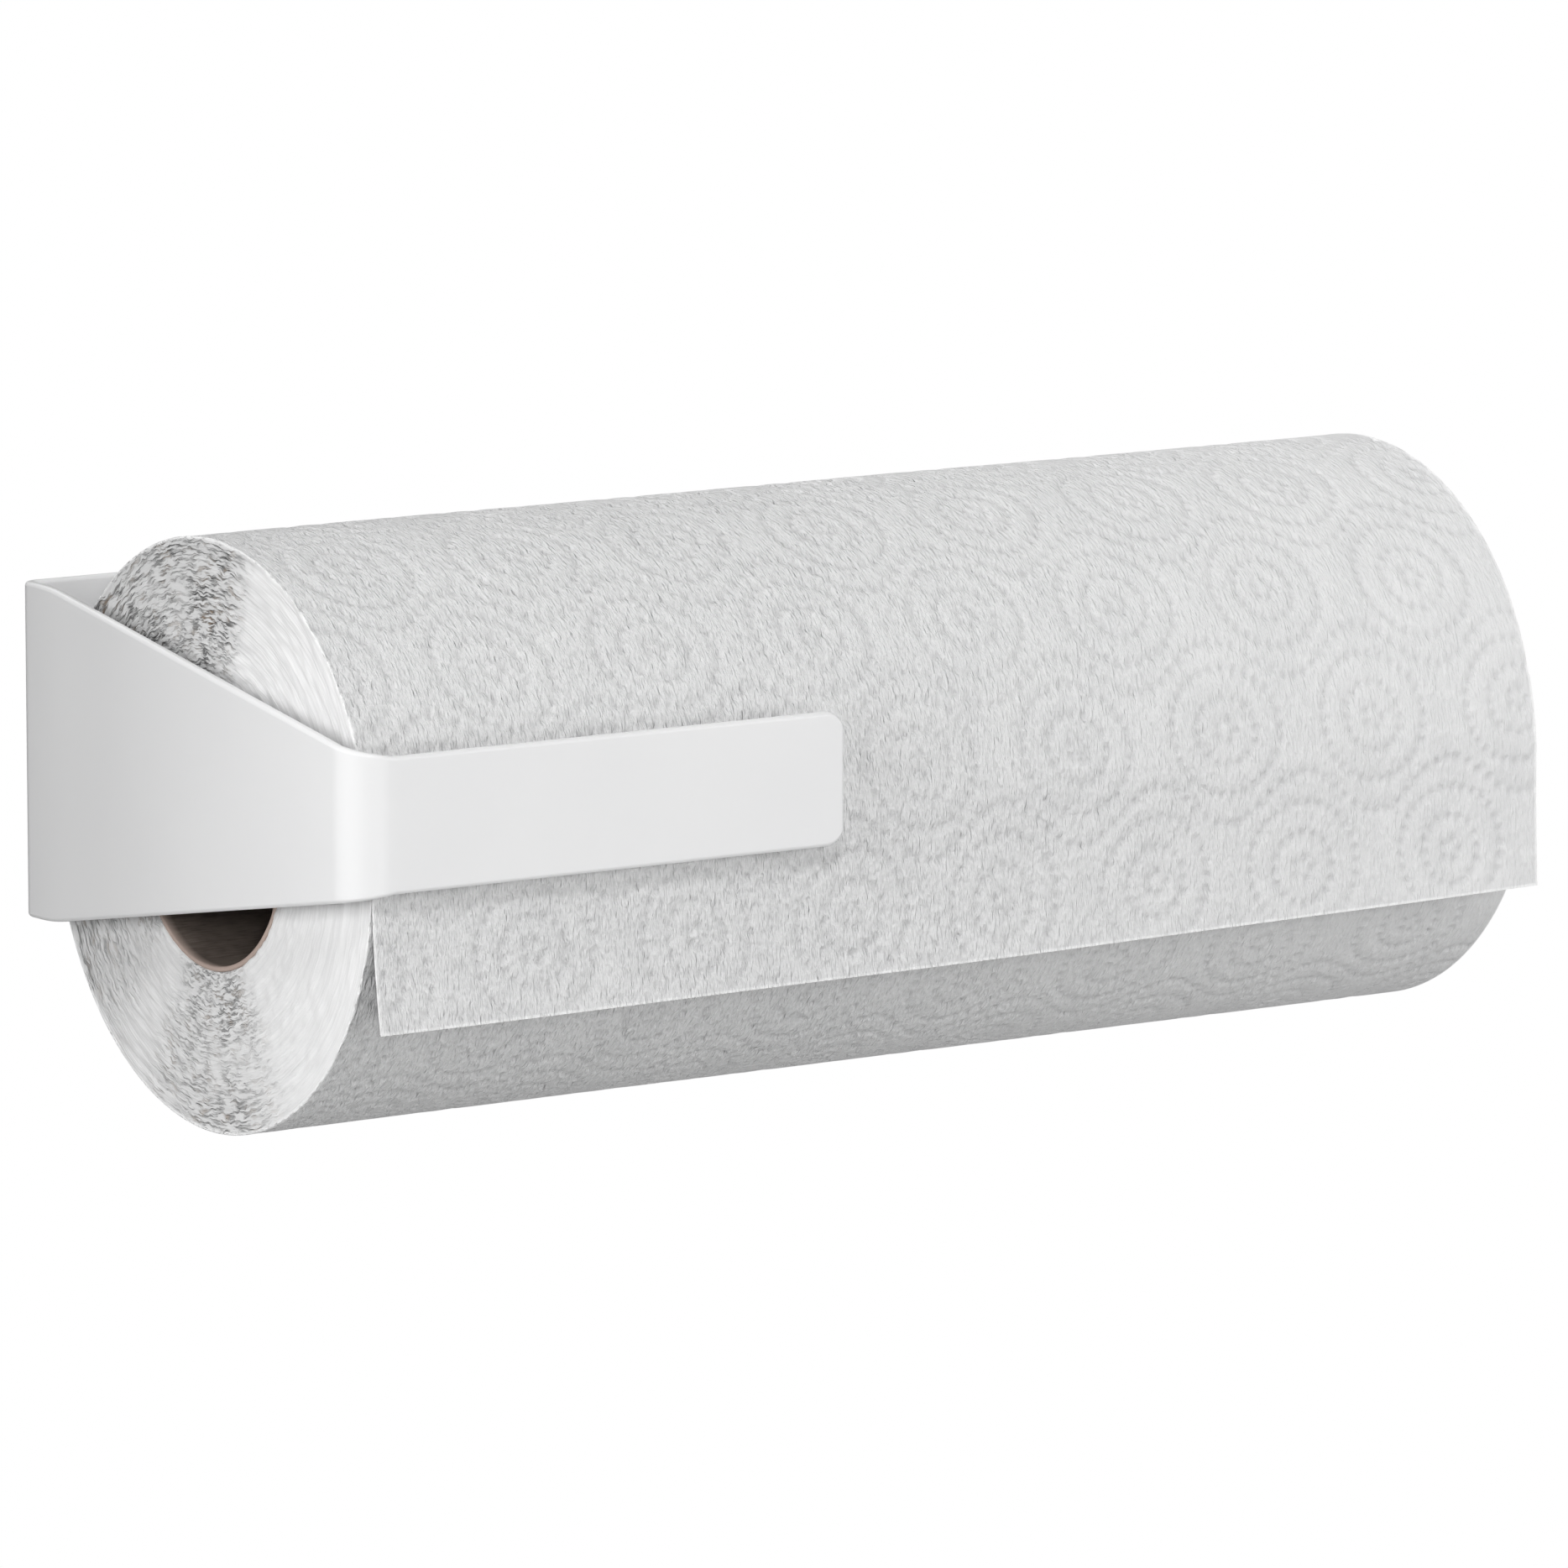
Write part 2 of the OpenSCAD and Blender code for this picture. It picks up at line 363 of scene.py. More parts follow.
def maths(tree, operation, *values):
    """The result of one sum on numbers or other nodes' outputs."""
    return add(tree, "ShaderNodeMath", dict(enumerate(values)), operation=operation).outputs["Value"]


def times(tree, first, second):
    """The product of two values."""
    return maths(tree, "MULTIPLY", first, second)


def mixed(tree, factor, first, second):
    """A colour between two others."""
    node = add(tree, "ShaderNodeMix", data_type="RGBA")
    set_input(tree, node, 0, factor)
    for place, colour in ((6, first), (7, second)):
        set_input(tree, node, place, colour if isinstance(colour, bpy.types.NodeSocket) else (*colour, 1))
    return node.outputs[2]


def bumped(tree, shader, *heights):
    """Gives the shader a bump from (height, depth) pairs."""
    normal = None
    for height, depth in heights:
        inputs = {"Height": height, "Distance": depth, "Strength": 1.0}
        if normal is not None:
            inputs["Normal"] = normal
        normal = add(tree, "ShaderNodeBump", inputs).outputs["Normal"]
    set_input(tree, shader, "Normal", normal)


# ---------------------------------------------------------------- bracket material

def powder_coat():
    """Satin white powder coat, with a faint orange peel."""
    material, tree, shader = new_material("powder_coat", (0.87, 0.87, 0.875), 0.36)
    shader.inputs["Specular IOR Level"].default_value = 0.4
    patch = even_grain(tree, 35 * MM)
    set_input(tree, shader, "Base Color", mixed(tree, patch, (0.85, 0.852, 0.858), (0.9, 0.9, 0.9)))
    fleck = even_grain(tree, 0.5 * MM)
    set_input(tree, shader, "Roughness", ranged(tree, fleck, 0.3, 0.7, 0.32, 0.4))
    orange_peel = even_grain(tree, 1.3 * MM, detail=3.0)
    bumped(tree, shader, (orange_peel, 0.012 * MM))
    return material


# ---------------------------------------------------------------- paper materials

def crepe_paper(name):
    """Soft creped tissue: streaks round the roll and lumps, stronger to the left, with a painted highlight
    on their raised parts and dots darkened partly by painted shade.
    """
    material, tree, shader = new_material(name, (0.8, 0.8, 0.802), 0.95)
    shader.inputs["Specular IOR Level"].default_value = 0.2
    coarse = ranged(tree, position_x(tree), roll_low.x + 0.4 * ROLL_L, roll_high.x, 1.0, 0.35)

    cloud = grain(tree, (9 * MM, 14 * MM, 14 * MM), detail=4.0)
    colour = mixed(tree, ranged(tree, cloud, 0.35, 0.65), (0.785, 0.786, 0.79), (0.83, 0.83, 0.832))

    streaks = grain(tree, (0.5 * MM, 1.9 * MM, 1.9 * MM))
    streaks = times(tree, ranged(tree, streaks, 0.3, 0.7), coarse)
    # Raised streaks are painted whiter, a painted highlight, more so to the left
    colour = mixed(tree, times(tree, streaks, 0.45), colour, RELIEF_HIGHLIGHT_WHITE)

    lumps = grain(tree, (1.6 * MM, 2.4 * MM, 2.4 * MM), detail=1.0)
    # The tops of the lumps are painted whiter, a painted highlight
    lump_highlight = ranged(tree, lumps, 0.56, 0.72)
    colour = mixed(tree, times(tree, lump_highlight, 0.5), colour, RELIEF_HIGHLIGHT_WHITE)
    lumps = times(tree, ranged(tree, lumps, 0.25, 0.75), coarse)

    # Pressed dots are darker: partly the compressed paper's own greyer tone, partly painted shade in the
    # dimples
    colour = mixed(tree, times(tree, stored(tree, "pressed"), 0.3), colour, (0.56, 0.56, 0.565))
    # A painted highlight along the cut edges
    edge_highlight = ranged(tree, stored(tree, "cut_edge"), EDGE_HIGHLIGHT_W * 1.3, EDGE_HIGHLIGHT_W * 0.7)
    set_input(tree, shader, "Base Color", mixed(tree, edge_highlight, colour, EDGE_HIGHLIGHT_WHITE))

    fibres = grain(tree, (0.3 * MM, 0.6 * MM, 0.6 * MM))
    bumped(tree, shader, (lumps, 0.38 * MM), (streaks, 0.42 * MM), (fibres, 0.05 * MM))
    return material


def roll_polar(tree):
    """Distance from the roll's axis, and Y and Z of the direction away from it."""
    to_axis = {0: position(tree), 1: (0, 1, 1), 2: (0, -roll_middle.y, -roll_middle.z)}
    offset = add(tree, "ShaderNodeVectorMath", to_axis, operation="MULTIPLY_ADD").outputs["Vector"]
    radius = add(tree, "ShaderNodeVectorMath", {0: offset}, operation="LENGTH").outputs["Value"]
    outward = add(tree, "ShaderNodeVectorMath", {0: offset}, operation="NORMALIZE").outputs["Vector"]
    split = add(tree, "ShaderNodeSeparateXYZ", {0: outward}).outputs
    return radius, split["Y"], split["Z"]


def along_layers(tree, radius, y, z):
    """Coordinates that follow the layers: X crosses them, Y and Z run round the roll."""
    round_y, round_z = times(tree, y, LAYERS_MEAN_R), times(tree, z, LAYERS_MEAN_R)
    return add(tree, "ShaderNodeCombineXYZ", {"X": radius, "Y": round_y, "Z": round_z}).outputs["Vector"]


def sector(tree, angle, first, last, soft):
    """1 between two angles in degrees, with a soft start and end."""
    start = ranged(tree, angle, radians(first - soft), radians(first + soft))
    end = ranged(tree, angle, radians(last + soft), radians(last - soft))
    return times(tree, start, end)


def painted_gap_shade_share(tree, y, z):
    """How much of the end face is painted with dark gaps and greyer layer edges, a painted shade: most at
    the top, less at the bottom and low at the wall side.
    """
    from_top = maths(tree, "ARCTAN2", y, z)
    from_bottom = maths(tree, "ARCTAN2", y, times(tree, z, -1.0))
    top = sector(tree, from_top, -14, 85, 4)
    bottom = times(tree, sector(tree, from_bottom, -24, 20, 8), 0.7)
    wall_side = times(tree, sector(tree, from_bottom, 42, 90, 8), 0.65)
    return maths(tree, "MAXIMUM", maths(tree, "MAXIMUM", top, bottom), wall_side)


def paper_layers():
    """The cut end of the roll: the edges of the wound layers, with wavy gaps painted dark as shade."""
    material, tree, shader = new_material("paper_layers", (0.85, 0.85, 0.85), 0.95)
    shader.inputs["Specular IOR Level"].default_value = 0.2
    radius, y, z = roll_polar(tree)
    layers = along_layers(tree, radius, y, z)
    gap_shade_amount = painted_gap_shade_share(tree, y, z)

    warp = even_grain(tree, 2 * MM, detail=1.0, coordinates=layers)
    wavy_layers = along_layers(tree, maths(tree, "MULTIPLY_ADD", warp, 1.6 * MM, radius), y, z)
    cracks = grain(tree, (0.5 * MM, 3 * MM, 3 * MM), coordinates=wavy_layers)
    patch = ranged(tree, even_grain(tree, 9 * MM, detail=1.0), 0.3, 0.6, 0.35, 1.0)
    # The gaps are painted dark grey to tan, a painted shade in the recesses between layers
    gaps = times(tree, ranged(tree, cracks, 0.48, 0.66), times(tree, gap_shade_amount, patch))
    tan_spots = ranged(tree, even_grain(tree, 5 * MM), 0.5, 0.6)
    gap_shade_colour = mixed(tree, tan_spots, (0.13, 0.13, 0.13), (0.3, 0.24, 0.19))

    lines = grain(tree, (0.45 * MM, 16 * MM, 16 * MM), coordinates=layers)
    edges = mixed(tree, ranged(tree, lines, 0.35, 0.65), (0.84, 0.84, 0.842), (0.92, 0.92, 0.92))
    # Layer edges are painted greyer where the gaps are, a painted shade
    shade = mixed(tree, gap_shade_amount, edges, mixed(tree, 0.6, edges, (0.72, 0.72, 0.72)))
    colour = mixed(tree, gaps, shade, gap_shade_colour)
    # A painted highlight along the outer rim of the cut end
    edge_highlight = ranged(tree, stored(tree, "cut_edge"), EDGE_HIGHLIGHT_W * 1.6, EDGE_HIGHLIGHT_W)
    set_input(tree, shader, "Base Color", mixed(tree, edge_highlight, colour, EDGE_HIGHLIGHT_WHITE))
    bumped(tree, shader, (gaps, -0.5 * MM), (lines, 0.2 * MM))
    return material


def cardboard():
    """Grey-brown recycled board with short fibres, and paler cut ends."""
    material, tree, shader = new_material("cardboard", (0.4, 0.33, 0.28), 0.9)
    shader.inputs["Specular IOR Level"].default_value = 0.25
    fibre = grain(tree, (3 * MM, 0.5 * MM, 0.5 * MM), detail=4.0)
    blotch = even_grain(tree, 6 * MM)
    colour = mixed(tree, ranged(tree, fibre, 0.3, 0.7), (0.15, 0.117, 0.1), (0.27, 0.222, 0.19))
    colour = mixed(tree, ranged(tree, blotch, 0.4, 0.8, 0, 0.5), colour, (0.36, 0.3, 0.26))
    along = position_x(tree)
    left_end = ranged(tree, along, roll_low.x + 2 * MM, roll_low.x)
    right_end = ranged(tree, along, roll_high.x - 2 * MM, roll_high.x)
    cut = maths(tree, "MAXIMUM", left_end, right_end)
    set_input(tree, shader, "Base Color", mixed(tree, cut, colour, (0.52, 0.41, 0.36)))
    bumped(tree, shader, (fibre, 0.08 * MM))
    return material


# ---------------------------------------------------------------- materials of the fittings

def turned_metal(name, colour, roughness, line):
    """Bare metal with fine marks round the rod's axis."""
    material, tree, shader = new_material(name, colour, roughness, metallic=1.0)
    marks = grain(tree, (line, 60 * MM, 60 * MM))
    darker = tuple(0.8 * part for part in colour)
    set_input(tree, shader, "Base Color", mixed(tree, marks, darker, colour))
    smudge = ranged(tree, even_grain(tree, 12 * MM), 0.3, 0.7, roughness * 0.92, roughness * 1.12)
    set_input(tree, shader, "Roughness", smudge)
    bumped(tree, shader, (marks, 0.003 * MM))
    return material


def moulded_plastic(name, colour):
    """Matt plastic with the fine texture of its mould."""
    material, tree, shader = new_material(name, colour, 0.5)
    darker = tuple(0.94 * part for part in colour)
    set_input(tree, shader, "Base Color", mixed(tree, even_grain(tree, 8 * MM), darker, colour))
    texture = even_grain(tree, 0.35 * MM)
    set_input(tree, shader, "Roughness", ranged(tree, texture, 0.3, 0.7, 0.45, 0.6))
    bumped(tree, shader, (texture, 0.01 * MM))
    return material


def finish_fittings():
    """Materials for the CAD nodes that stay as they are."""
    finishes = {
        "weld_stud": turned_metal("coppered_steel", (0.72, 0.46, 0.33), 0.35, 1 * MM),
        "rod_spigot": turned_metal("turned_aluminium", (0.8, 0.8, 0.81), 0.34, 0.25 * MM),
        "grub_screw": turned_metal("blackened_steel", (0.07, 0.07, 0.075), 0.45, 0.5 * MM),
        "roll_rod": turned_metal("brushed_steel", (0.66, 0.66, 0.65), 0.36, 0.3 * MM),
        "spacer_collar": moulded_plastic("collar_plastic", (0.62, 0.62, 0.63)),
        "end_plug": moulded_plastic("plug_plastic", (0.66, 0.66, 0.67)),
    }
    for name, material in finishes.items():
        data = frame["nodes"][name].data
        data.materials.clear()
        data.materials.append(material)


# ---------------------------------------------------------------- bracket

def side_half_height(travel):
    """Half the side plate's height, by the distance along the steel from the wall face."""
    full = (bracket_high.z - bracket_low.z) / 2
    flat_end = -bracket_low.y - FRONT_BEND_R
    taper_l = flat_end - FULL_DEPTH + BEND_MID_R * pi / 2
    angle = atan((full - STRIP_H / 2) / taper_l)
    run = SHOULDER_R * tan(angle / 2)
    past = travel - (FULL_DEPTH - run)
    if past <= 0:
        return full
    if past < SHOULDER_R * sin(angle):
        return full - SHOULDER_R + sqrt(SHOULDER_R**2 - past**2)
    return full - (travel - FULL_DEPTH) * tan(angle)


def end_distances():
    """Distances from a free end, closer together towards it, over the rounded corner."""
    return [CORNER_R * (1 - cos(pi / 2 * i / CORNER_STEPS)) for i in range(CORNER_STEPS + 1)]


def end_size(distance, half_height):
    """Half the height and half the thickness of the sheet at a distance from its free end."""
    into_corner = max(0, CORNER_R - distance)
    into_edge = max(0, EDGE_R - distance)
    height = half_height - CORNER_R + sqrt(CORNER_R**2 - into_corner**2)
    return height, HALF_T - EDGE_R + sqrt(EDGE_R**2 - into_edge**2)


def station(x, y, outer_side, half_height, half_thickness=HALF_T):
    """One place along the folded sheet: middle of the steel, its outer side, and half its two sizes."""
    return Vector((x, y)), Vector(outer_side), half_height, half_thickness


def back_stations():
    """The back plate, from its free end to the bend."""
    y = bracket_high.y - HALF_T
    half_height = bracket_high.z
    end = bracket_high.x
    made = []
    for distance in end_distances():
        made.append(station(end - distance, y, (0, 1), *end_size(distance, half_height)))
    start = end - CORNER_R
    run = bracket_low.x + BACK_BEND_R - start
    made += [station(start + run * i / BACK_STEPS, y, (0, 1), half_height) for i in range(1, BACK_STEPS)]
    return made


def back_bend_stations():
    """The bend at the wall."""
    centre = Vector((bracket_low.x + BACK_BEND_R, bracket_high.y - BACK_BEND_R))
    made = []
    for i in range(BACK_BEND_STEPS + 1):
        angle = pi / 2 + pi / 2 * i / BACK_BEND_STEPS
        out = Vector((cos(angle), sin(angle)))
        made.append(station(*(centre + out * (BACK_BEND_R - HALF_T)), out, bracket_high.z))
    return made


def side_stations():
    """The side plate, closer together where the taper starts."""
    gap_shade_colour = [SHOULDER_START + i * SHOULDER_STEP for i in range(SHOULDER_STEPS)]
    gap_shade_colour += [gap_shade_colour[-1] + i * TAPER_STEP for i in range(1, TAPER_STEPS + 1)]
    x = bracket_low.x + HALF_T
    return [station(x, -depth, (-1, 0), side_half_height(depth)) for depth in gap_shade_colour]


def front_bend_stations():
    """The bend from the side plate to the strip."""
    centre = Vector((bracket_low.x + FRONT_BEND_R, bracket_low.y + FRONT_BEND_R))
    made = []
    for i in range(FRONT_BEND_STEPS + 1):
        turned = pi / 2 * i / FRONT_BEND_STEPS
        out = Vector((-cos(turned), -sin(turned)))
        travel = BEND_MID_R * turned - centre.y
        made.append(station(*(centre + out * BEND_MID_R), out, side_half_height(travel)))
    return made


def strip_stations():
    """The front strip, from the bend to its free end."""
    y = bracket_low.y + HALF_T
    half_height = STRIP_H / 2
    start = bracket_low.x + FRONT_BEND_R
    end = bracket_low.x + STRIP_L
    run = end - CORNER_R - start
    made = [station(start + run * i / STRIP_STEPS, y, (0, -1), half_height) for i in range(1, STRIP_STEPS)]
    for distance in reversed(end_distances()):
        made.append(station(end - distance, y, (0, -1), *end_size(distance, half_height)))
    return made


def section(half_height, half_thickness, steps=6):
    """A rounded rectangle round the steel: (across, up) pairs."""
    r = min(EDGE_R, half_thickness)
    points = []
    for quarter in range(4):
        across = half_thickness - r if quarter in (0, 3) else r - half_thickness
        up = half_height - r if quarter in (0, 1) else r - half_height
        for i in range(steps + 1):
            angle = pi / 2 * (quarter + i / steps)
            points.append((across + r * cos(angle), up + r * sin(angle)))
    return points


def screw_hole_cutter(sides=48):
    """Four countersunk holes, as solids to take away from the back plate."""
    pattern = next(m for m in frame["record"]["mounts"] if m["kind"] == "bolt_pattern")["dims"]
    hole_r = pattern["hole_r_mm"] * MM
    sink_r = SINK_D / 2
    over = 1 * MM
    profile = [(hole_r, over), (hole_r, -STEEL_T + sink_r - hole_r), (sink_r + over, -STEEL_T - over)]
    vertices, faces = [], []
    for across in (-0.5, 0.5):
        for up in (-0.5, 0.5):
            start = len(vertices)
            x = across * pattern["spacing_x_mm"] * MM
            z = up * pattern["spacing_y_mm"] * MM
            for r, y in profile:
                turns = [2 * pi * i / sides for i in range(sides)]
                vertices += [(x + r * cos(turn), y, z + r * sin(turn)) for turn in turns]
            faces += grid_faces(len(profile), sides, wrap_columns=True, start=start)
            faces.append([start + i for i in reversed(range(sides))])
            faces.append([start + (len(profile) - 1) * sides + i for i in range(sides)])
    mesh = bpy.data.meshes.new("screw_holes")
    mesh.from_pydata(vertices, [], faces)
    return bpy.data.objects.new("screw_holes", mesh)


def drill(bracket):
    """Takes the screw holes out of the bracket's mesh."""
    cutter = screw_hole_cutter()
    bpy.context.scene.collection.objects.link(cutter)
    cut = bracket.modifiers.new("screw_holes", "BOOLEAN")
    cut.object = cutter
    cut.solver = "EXACT"
    bpy.context.view_layer.update()
    shape = bpy.data.meshes.new_from_object(bracket.evaluated_get(bpy.context.evaluated_depsgraph_get()))
    bracket.modifiers.remove(cut)
    bracket.data = shape
    bpy.data.objects.remove(cutter)


def build_bracket():
    """The folded sheet: a rounded section carried along the steel, with its screw holes."""
    stations = back_stations() + back_bend_stations() + side_stations()
    stations += front_bend_stations() + strip_stations()
    vertices = []
    for middle, out, half_height, half_thickness in stations:
        for across, up in section(half_height, half_thickness):
            place = middle + out * across
            vertices.append((place.x, place.y, up))
    count = len(vertices) // len(stations)
    faces = grid_faces(len(stations), count, wrap_columns=True)
    faces.append(list(range(count)))
    faces.append([len(vertices) - 1 - i for i in range(count)])
    bracket = make_piece("bracket", vertices, faces, [powder_coat()],
                         "holder", "wall_bracket")
    drill(bracket)
    bracket.data.set_sharp_from_angle(angle=radians(40))
    normals = bracket.modifiers.new("flat_faces", "WEIGHTED_NORMAL")
    normals.keep_sharp = True


# ---------------------------------------------------------------- paper and core

def roll_profile():
    """Round the roll's wall: the points as (x from the left end, radius), and the kind of each point."""
    steps = int((ROLL_L - 2 * RIM_R) / MESH_STEP)
    outside = [(RIM_R + i * MESH_STEP, ROLL_R) for i in range(steps + 1)]
    turns = [pi / 2 * i / RIM_STEPS for i in range(1, RIM_STEPS)]
    right_rim = [(ROLL_L + RIM_R * (sin(turn) - 1), ROLL_R + RIM_R * (cos(turn) - 1)) for turn in turns]
    left_rim = [(ROLL_L - x, r) for x, r in reversed(right_rim)]
    end_w = ROLL_R - RIM_R - CORE_R
    layers = int(end_w / LAYER_STEP)
    right = [(ROLL_L, ROLL_R - RIM_R - end_w * i / layers) for i in range(layers + 1)]
    left = [(0, r) for _, r in reversed(right)]
    parts = ((outside, OUTSIDE), (right_rim, RIM), (right, RIGHT_END), (left, LEFT_END), (left_rim, RIM))
    points = [point for part, _ in parts for point in part]
    kinds = [kind for part, kind in parts for _ in part]
    return np.array(points), np.array(kinds)


def end_waves(rng, r):
    """How far the cut layers stand back at each point of the roll's end: uneven, but calm at the rim."""
    waves = wavy(rng, *r.shape, 0.5, 2.4) + 0.6 * wavy(rng, *r.shape, 2, 9)
    calm = np.clip((ROLL_R - r) / CALM_RIM, 0.15, 1)
    return END_WAVE * calm * np.clip(waves + 1.6, 0, 3.2)


def build_roll():
    """The wound paper: its embossed outside and its two cut ends."""
    rng = np.random.default_rng(11)
    count = int(2 * pi * ROLL_R / MESH_STEP)
    angle = np.arange(count)[None, :] * 2 * pi / count
    profile, kind = roll_profile()
    x = np.repeat(profile[:, :1], count, 1)
    r = np.repeat(profile[:, 1:], count, 1)

    outer = kind == OUTSIDE
    pressed = emboss(x[outer], np.repeat(angle * ROLL_R, outer.sum(), 0))
    from_sheet = np.minimum(angle, 2 * pi - angle) * ROLL_R - SHEET_OVERLAP
    heights = wavy(rng, outer.sum(), count, SWELL_SMOOTH, SWELL_SMOOTH)
    swell = SWELL / 2 * (1 + np.clip(heights, -1, 1))
    r[outer] -= pressed + swell * np.clip(from_sheet / SWELL_FADE, 0, 1)
    for end, inwards in ((RIGHT_END, -1), (LEFT_END, 1)):
        ring = kind == end
        x[ring] += inwards * end_waves(rng, r[ring])

    vertices = ring_points(roll_low.x + x, r, angle)
    faces = grid_faces(len(profile), count, wrap_rows=True, wrap_columns=True)
    materials = [crepe_paper("roll_paper"), paper_layers()]
    roll = make_piece("towel_roll", vertices, faces, materials, "roll", "paper_roll")
    at_end = kind >= RIGHT_END
    end_face = at_end & np.roll(at_end, -1)
    roll.data.polygons.foreach_set("material_index", np.repeat(end_face, count).astype(np.int32))
    store(roll, "cut_edge", np.where(at_end[:, None], ROLL_R - r, np.minimum(x, ROLL_L - x)))
    gap_shade_colour = np.zeros_like(r)
    gap_shade_colour[outer] = pressed / DOT_DEPTH
    store(roll, "pressed", gap_shade_colour)


def build_sheet():
    """The loose end of the paper: it leaves the roll behind the strip and hangs straight down."""
    columns = int(ROLL_L / MESH_STEP) + 1
    x = np.linspace(0, ROLL_L, columns)[None, :]
    top = SHEET_OVERLAP
    drop = roll_middle.z - sheet_low.z
    rows = int((top + drop) / MESH_STEP) + 1
    share = np.linspace(0, 1, rows)[:, None]
    low = -drop + SHEET_RISE * (x / ROLL_L) ** 2
    s = top + (low - top) * share
    on_roll = np.clip(s, 0, None)
    hanging = np.clip(-s, 0, None)
    freedom = (hanging / drop) ** 2
    rise = 1 - on_roll / top
    lift = SHEET_LIFT * rise * rise * (3 - 2 * rise) + SHEET_SEAT
    thick = np.minimum(SHEET_T, lift + SHEET_SINK)
    lean = SHEET_LEAN * (1 - SHEET_LEAN_LOST * x / ROLL_L) * freedom
    ripple = RIPPLE * np.sin(x / RIPPLE_L) * freedom
    from_edge = np.minimum(np.minimum(x, ROLL_L - x), s - low)
    depth = emboss(x, s) * np.clip(from_edge / CALM_EDGE_W, 0, 1)

    def face(outward):
        """The points of a face that stands this far out from the roll."""
        r = ROLL_R + outward
        y = roll_middle.y - r * np.cos(on_roll / ROLL_R) - lean - ripple
        z = roll_middle.z + r * np.sin(on_roll / ROLL_R) - hanging
        return grid_points(roll_low.x + x, y, z)

    vertices = np.concatenate((face(lift - depth), face(lift - depth - thick)))
    count = rows * columns
    grid = np.arange(count).reshape(rows, columns)
    border = np.concatenate((grid[0], grid[1:, -1], grid[-1, -2::-1], grid[-2:0:-1, 0]))
    beyond = np.roll(border, -1)
    faces = grid_faces(rows, columns)
    faces += [[count + i for i in reversed(quad)] for quad in grid_faces(rows, columns)]
    faces += np.stack((border, border + count, beyond + count, beyond), -1).tolist()
    sheet = make_piece("hanging_sheet", vertices, faces, [crepe_paper("sheet_paper")],
                       "sheet", "loose_sheet")
    store(sheet, "cut_edge", np.concatenate((from_edge, from_edge)))
    store(sheet, "pressed", np.concatenate((depth, depth)) / DOT_DEPTH)
    sheet.data.set_sharp_from_angle(angle=radians(75))


def build_core():
    """The cardboard tube, with the raised edge of its inner ply and slightly rough cut ends."""
    rng = np.random.default_rng(5)
    angle = np.arange(CORE_SIDES)[None, :] * 2 * pi / CORE_SIDES
    bore_r = CORE_R - CORE_WALL
    along = np.arange(0.3 * MM, ROLL_L - 0.2 * MM, CORE_STEP)
    outer = [(x, CORE_R) for x in along]
    inner = [(x, bore_r) for x in along[::-1]]
    right = [(ROLL_L, CORE_R - CORE_CHAMFER), (ROLL_L, bore_r + CORE_CHAMFER)]
    left = [(0, r) for _, r in reversed(right)]
    profile = np.array(outer + right + inner + left)
    x = np.repeat(profile[:, :1], CORE_SIDES, 1)
    r = np.repeat(profile[:, 1:], CORE_SIDES, 1)

    ply = (x / SPIRAL_PITCH + angle / (2 * pi)) % 1 * SPIRAL_PITCH
    seam = SEAM_H * np.exp(-((ply - SEAM_AT) / SEAM_W) ** 2)
    inside = (profile[:, 1] < CORE_R - CORE_WALL / 2)[:, None]
    r += np.where(inside, seam, -CORE_PLAY)
    rough = CORE_ROUGH * np.abs(wavy(rng, len(profile), CORE_SIDES, 0.8, 1.5))
    from_end = np.minimum(profile[:, 0], ROLL_L - profile[:, 0])[:, None]
    x += np.where(from_end < 0.1 * MM, np.where(x > ROLL_L / 2, -rough, rough), 0)
    vertices = ring_points(roll_low.x + x, r, angle)
    faces = grid_faces(len(profile), CORE_SIDES, wrap_rows=True, wrap_columns=True)
    make_piece("core_tube", vertices, faces, [cardboard()], "roll", "cardboard_core")


# ---------------------------------------------------------------- camera, light and floor

def build_camera():
    """A long lens, aimed a little left of and below the roll's middle."""
    turn, rise = CAMERA_AZIMUTH, CAMERA_ELEVATION
    forward = Vector((sin(turn) * cos(rise), cos(turn) * cos(rise), -sin(rise)))
    right = Vector((cos(turn), -sin(turn), 0))
    up = right.cross(forward)
    aim = roll_middle - right * AIM_LEFT - up * AIM_DOWN
    camera = bpy.data.cameras.new("camera")
    camera.sensor_width = CAMERA_SENSOR
    camera.lens = CAMERA_LENS
    camera.clip_end = 100
    holder = bpy.data.objects.new("camera", camera)
    axes = Matrix((right, up, -forward)).transposed().to_4x4()
    holder.matrix_world = Matrix.Translation(aim - forward * CAMERA_DISTANCE) @ axes
    bpy.context.scene.collection.objects.link(holder)
    bpy.context.scene.camera = holder


def softbox(name, azimuth, elevation, distance, size, power):
    """A square lamp that faces the roll's middle."""
    turn, rise = radians(azimuth), radians(elevation)
    out = Vector((-sin(turn) * cos(rise), -cos(turn) * cos(rise), sin(rise)))
    lamp = bpy.data.lights.new(name, "AREA")
    lamp.size = size
    lamp.energy = power
    holder = bpy.data.objects.new(name, lamp)
    holder.location = roll_middle + out * distance
    holder.rotation_euler = out.to_track_quat("Z", "Y").to_euler()
    bpy.context.scene.collection.objects.link(holder)


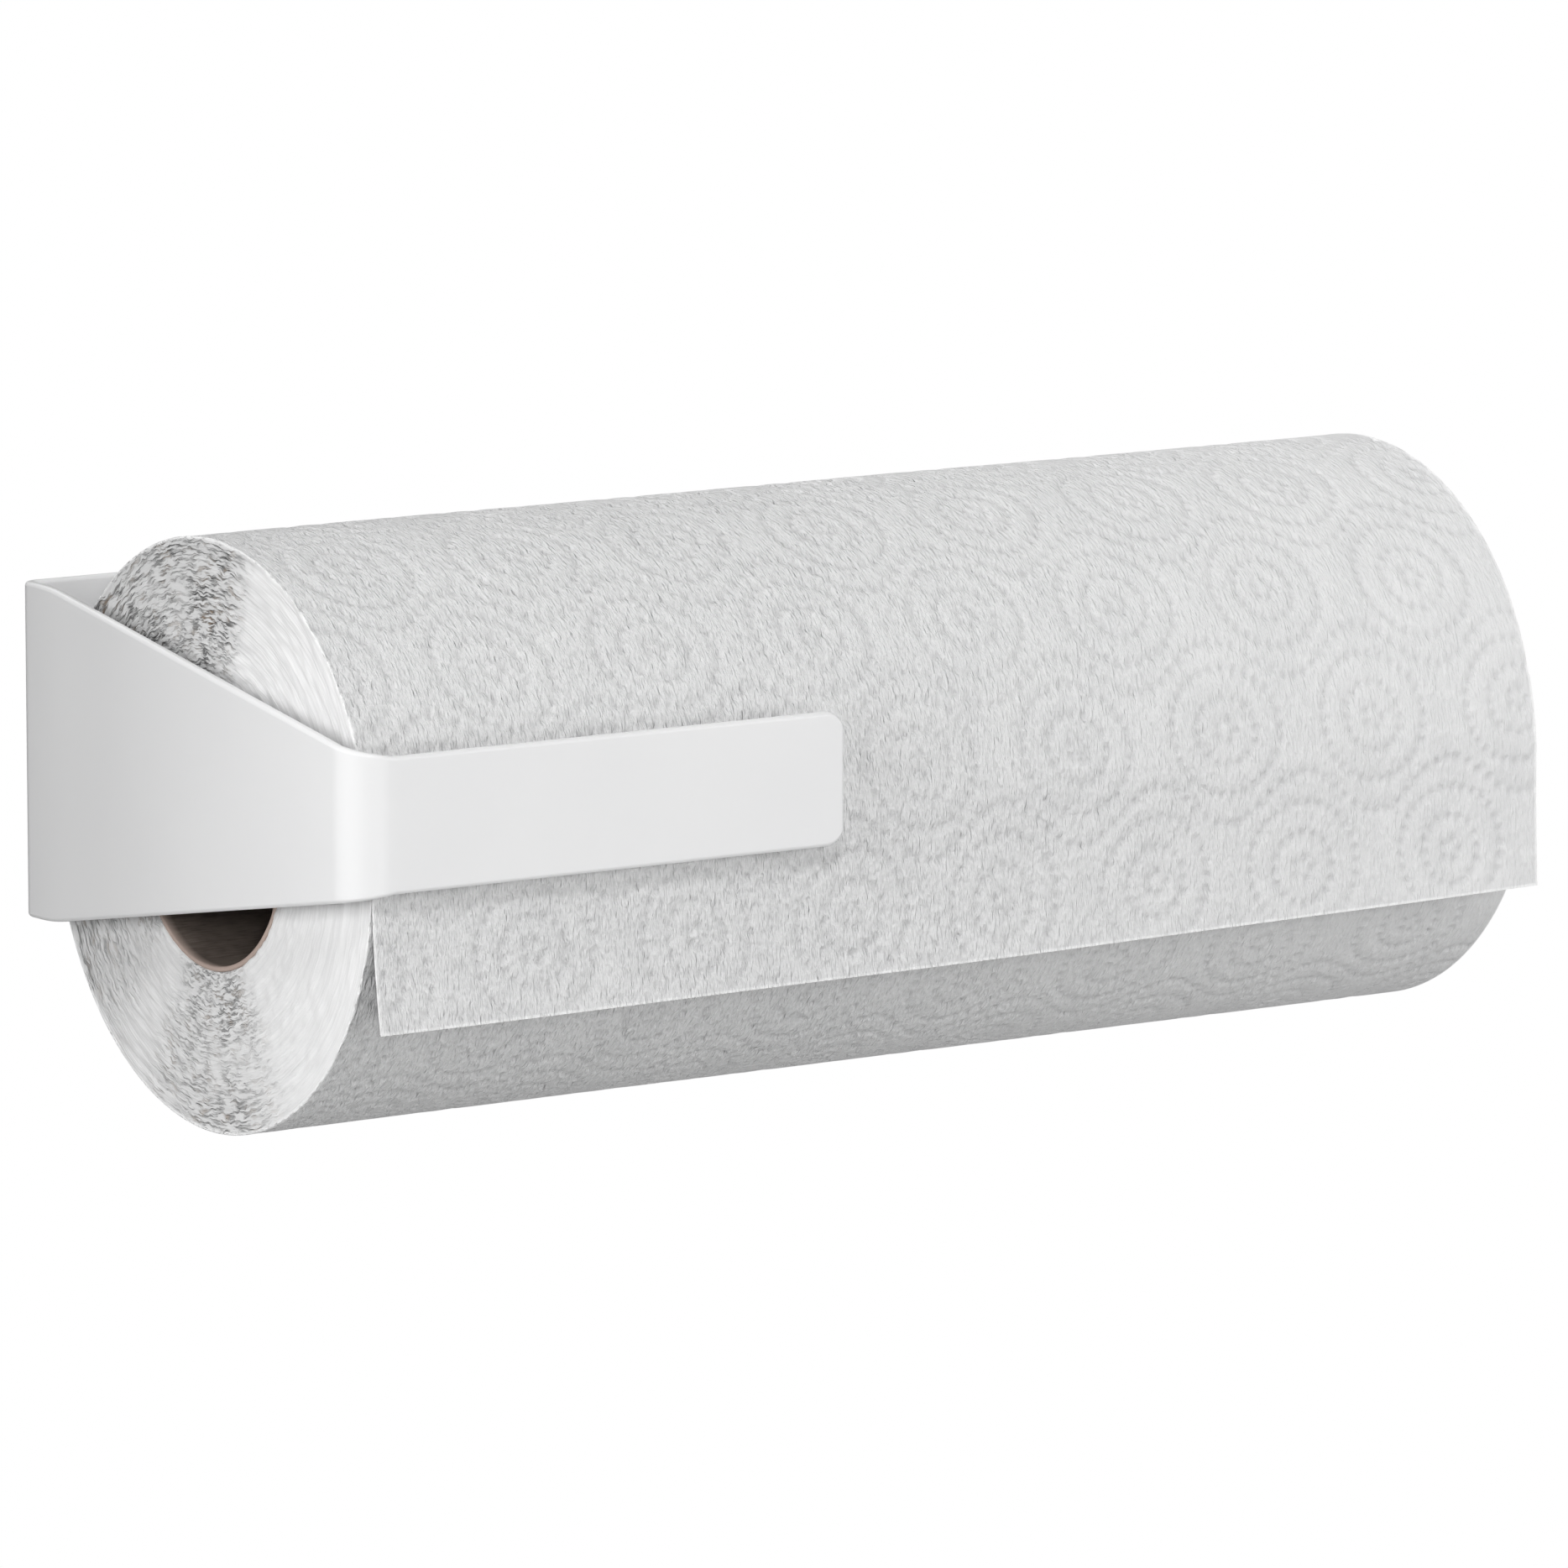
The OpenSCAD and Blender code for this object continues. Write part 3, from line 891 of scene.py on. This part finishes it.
def build_light():
    """The lamps, and a world that is white to the eye and almost dark to the object."""
    for lamp in LAMPS:
        softbox(*lamp)
    world = bpy.data.worlds.new("studio")
    world.use_nodes = True
    tree = world.node_tree
    seen = add(tree, "ShaderNodeLightPath").outputs["Is Camera Ray"]
    tint = mixed(tree, seen, (0.01, 0.01, 0.01), (1, 1, 1))
    set_input(tree, tree.nodes["Background"], "Color", tint)
    bpy.context.scene.world = world
    bpy.context.scene.view_settings.view_transform = "Standard"


def stage_card(name, corners, material, visible=True):
    """A flat rectangle of the studio, which isn't part of the object."""
    mesh = bpy.data.meshes.new(name)
    mesh.from_pydata(corners, [], [(0, 1, 2, 3)])
    mesh.materials.append(material)
    card = bpy.data.objects.new(name, mesh)
    card.visible_camera = visible
    bpy.context.scene.collection.objects.link(card)


def build_floor():
    """A wide pale floor that is white to the eye and grey to the light that it throws back."""
    material = bpy.data.materials.new("floor")
    material.use_nodes = True
    tree = material.node_tree
    tree.nodes.clear()
    white = add(tree, "ShaderNodeEmission", {"Color": (1, 1, 1, 1), "Strength": 1.0}).outputs[0]
    grey = add(tree, "ShaderNodeBsdfDiffuse", {"Color": (0.5, 0.5, 0.5, 1)}).outputs[0]
    seen = add(tree, "ShaderNodeLightPath").outputs["Is Camera Ray"]
    shown = add(tree, "ShaderNodeMixShader", {0: seen, 1: grey, 2: white}).outputs[0]
    add(tree, "ShaderNodeOutputMaterial", {"Surface": shown})
    half, z = FLOOR_HALF, bracket_low.z - FLOOR_DROP
    stage_card("floor", [(-half, -half, z), (half, -half, z), (half, half, z), (-half, half, z)], material)


def build_flag():
    """A black card beside the bracket, near the wall face, which holds light back as a wall does."""
    material, _, _ = new_material("flag", (0.02, 0.02, 0.02), 0.9)
    right = bracket_low.x - FLAG_GAP
    left = right - FLAG_W
    y = bracket_high.y + FLAG_BEHIND
    low, high = -FLAG_HALF_H, FLAG_HALF_H
    corners = [(left, y, low), (right, y, low), (right, y, high), (left, y, high)]
    stage_card("flag", corners, material, visible=False)


build_camera()
build_light()
build_floor()
build_flag()
build_bracket()
build_roll()
build_sheet()
build_core()
finish_fittings()
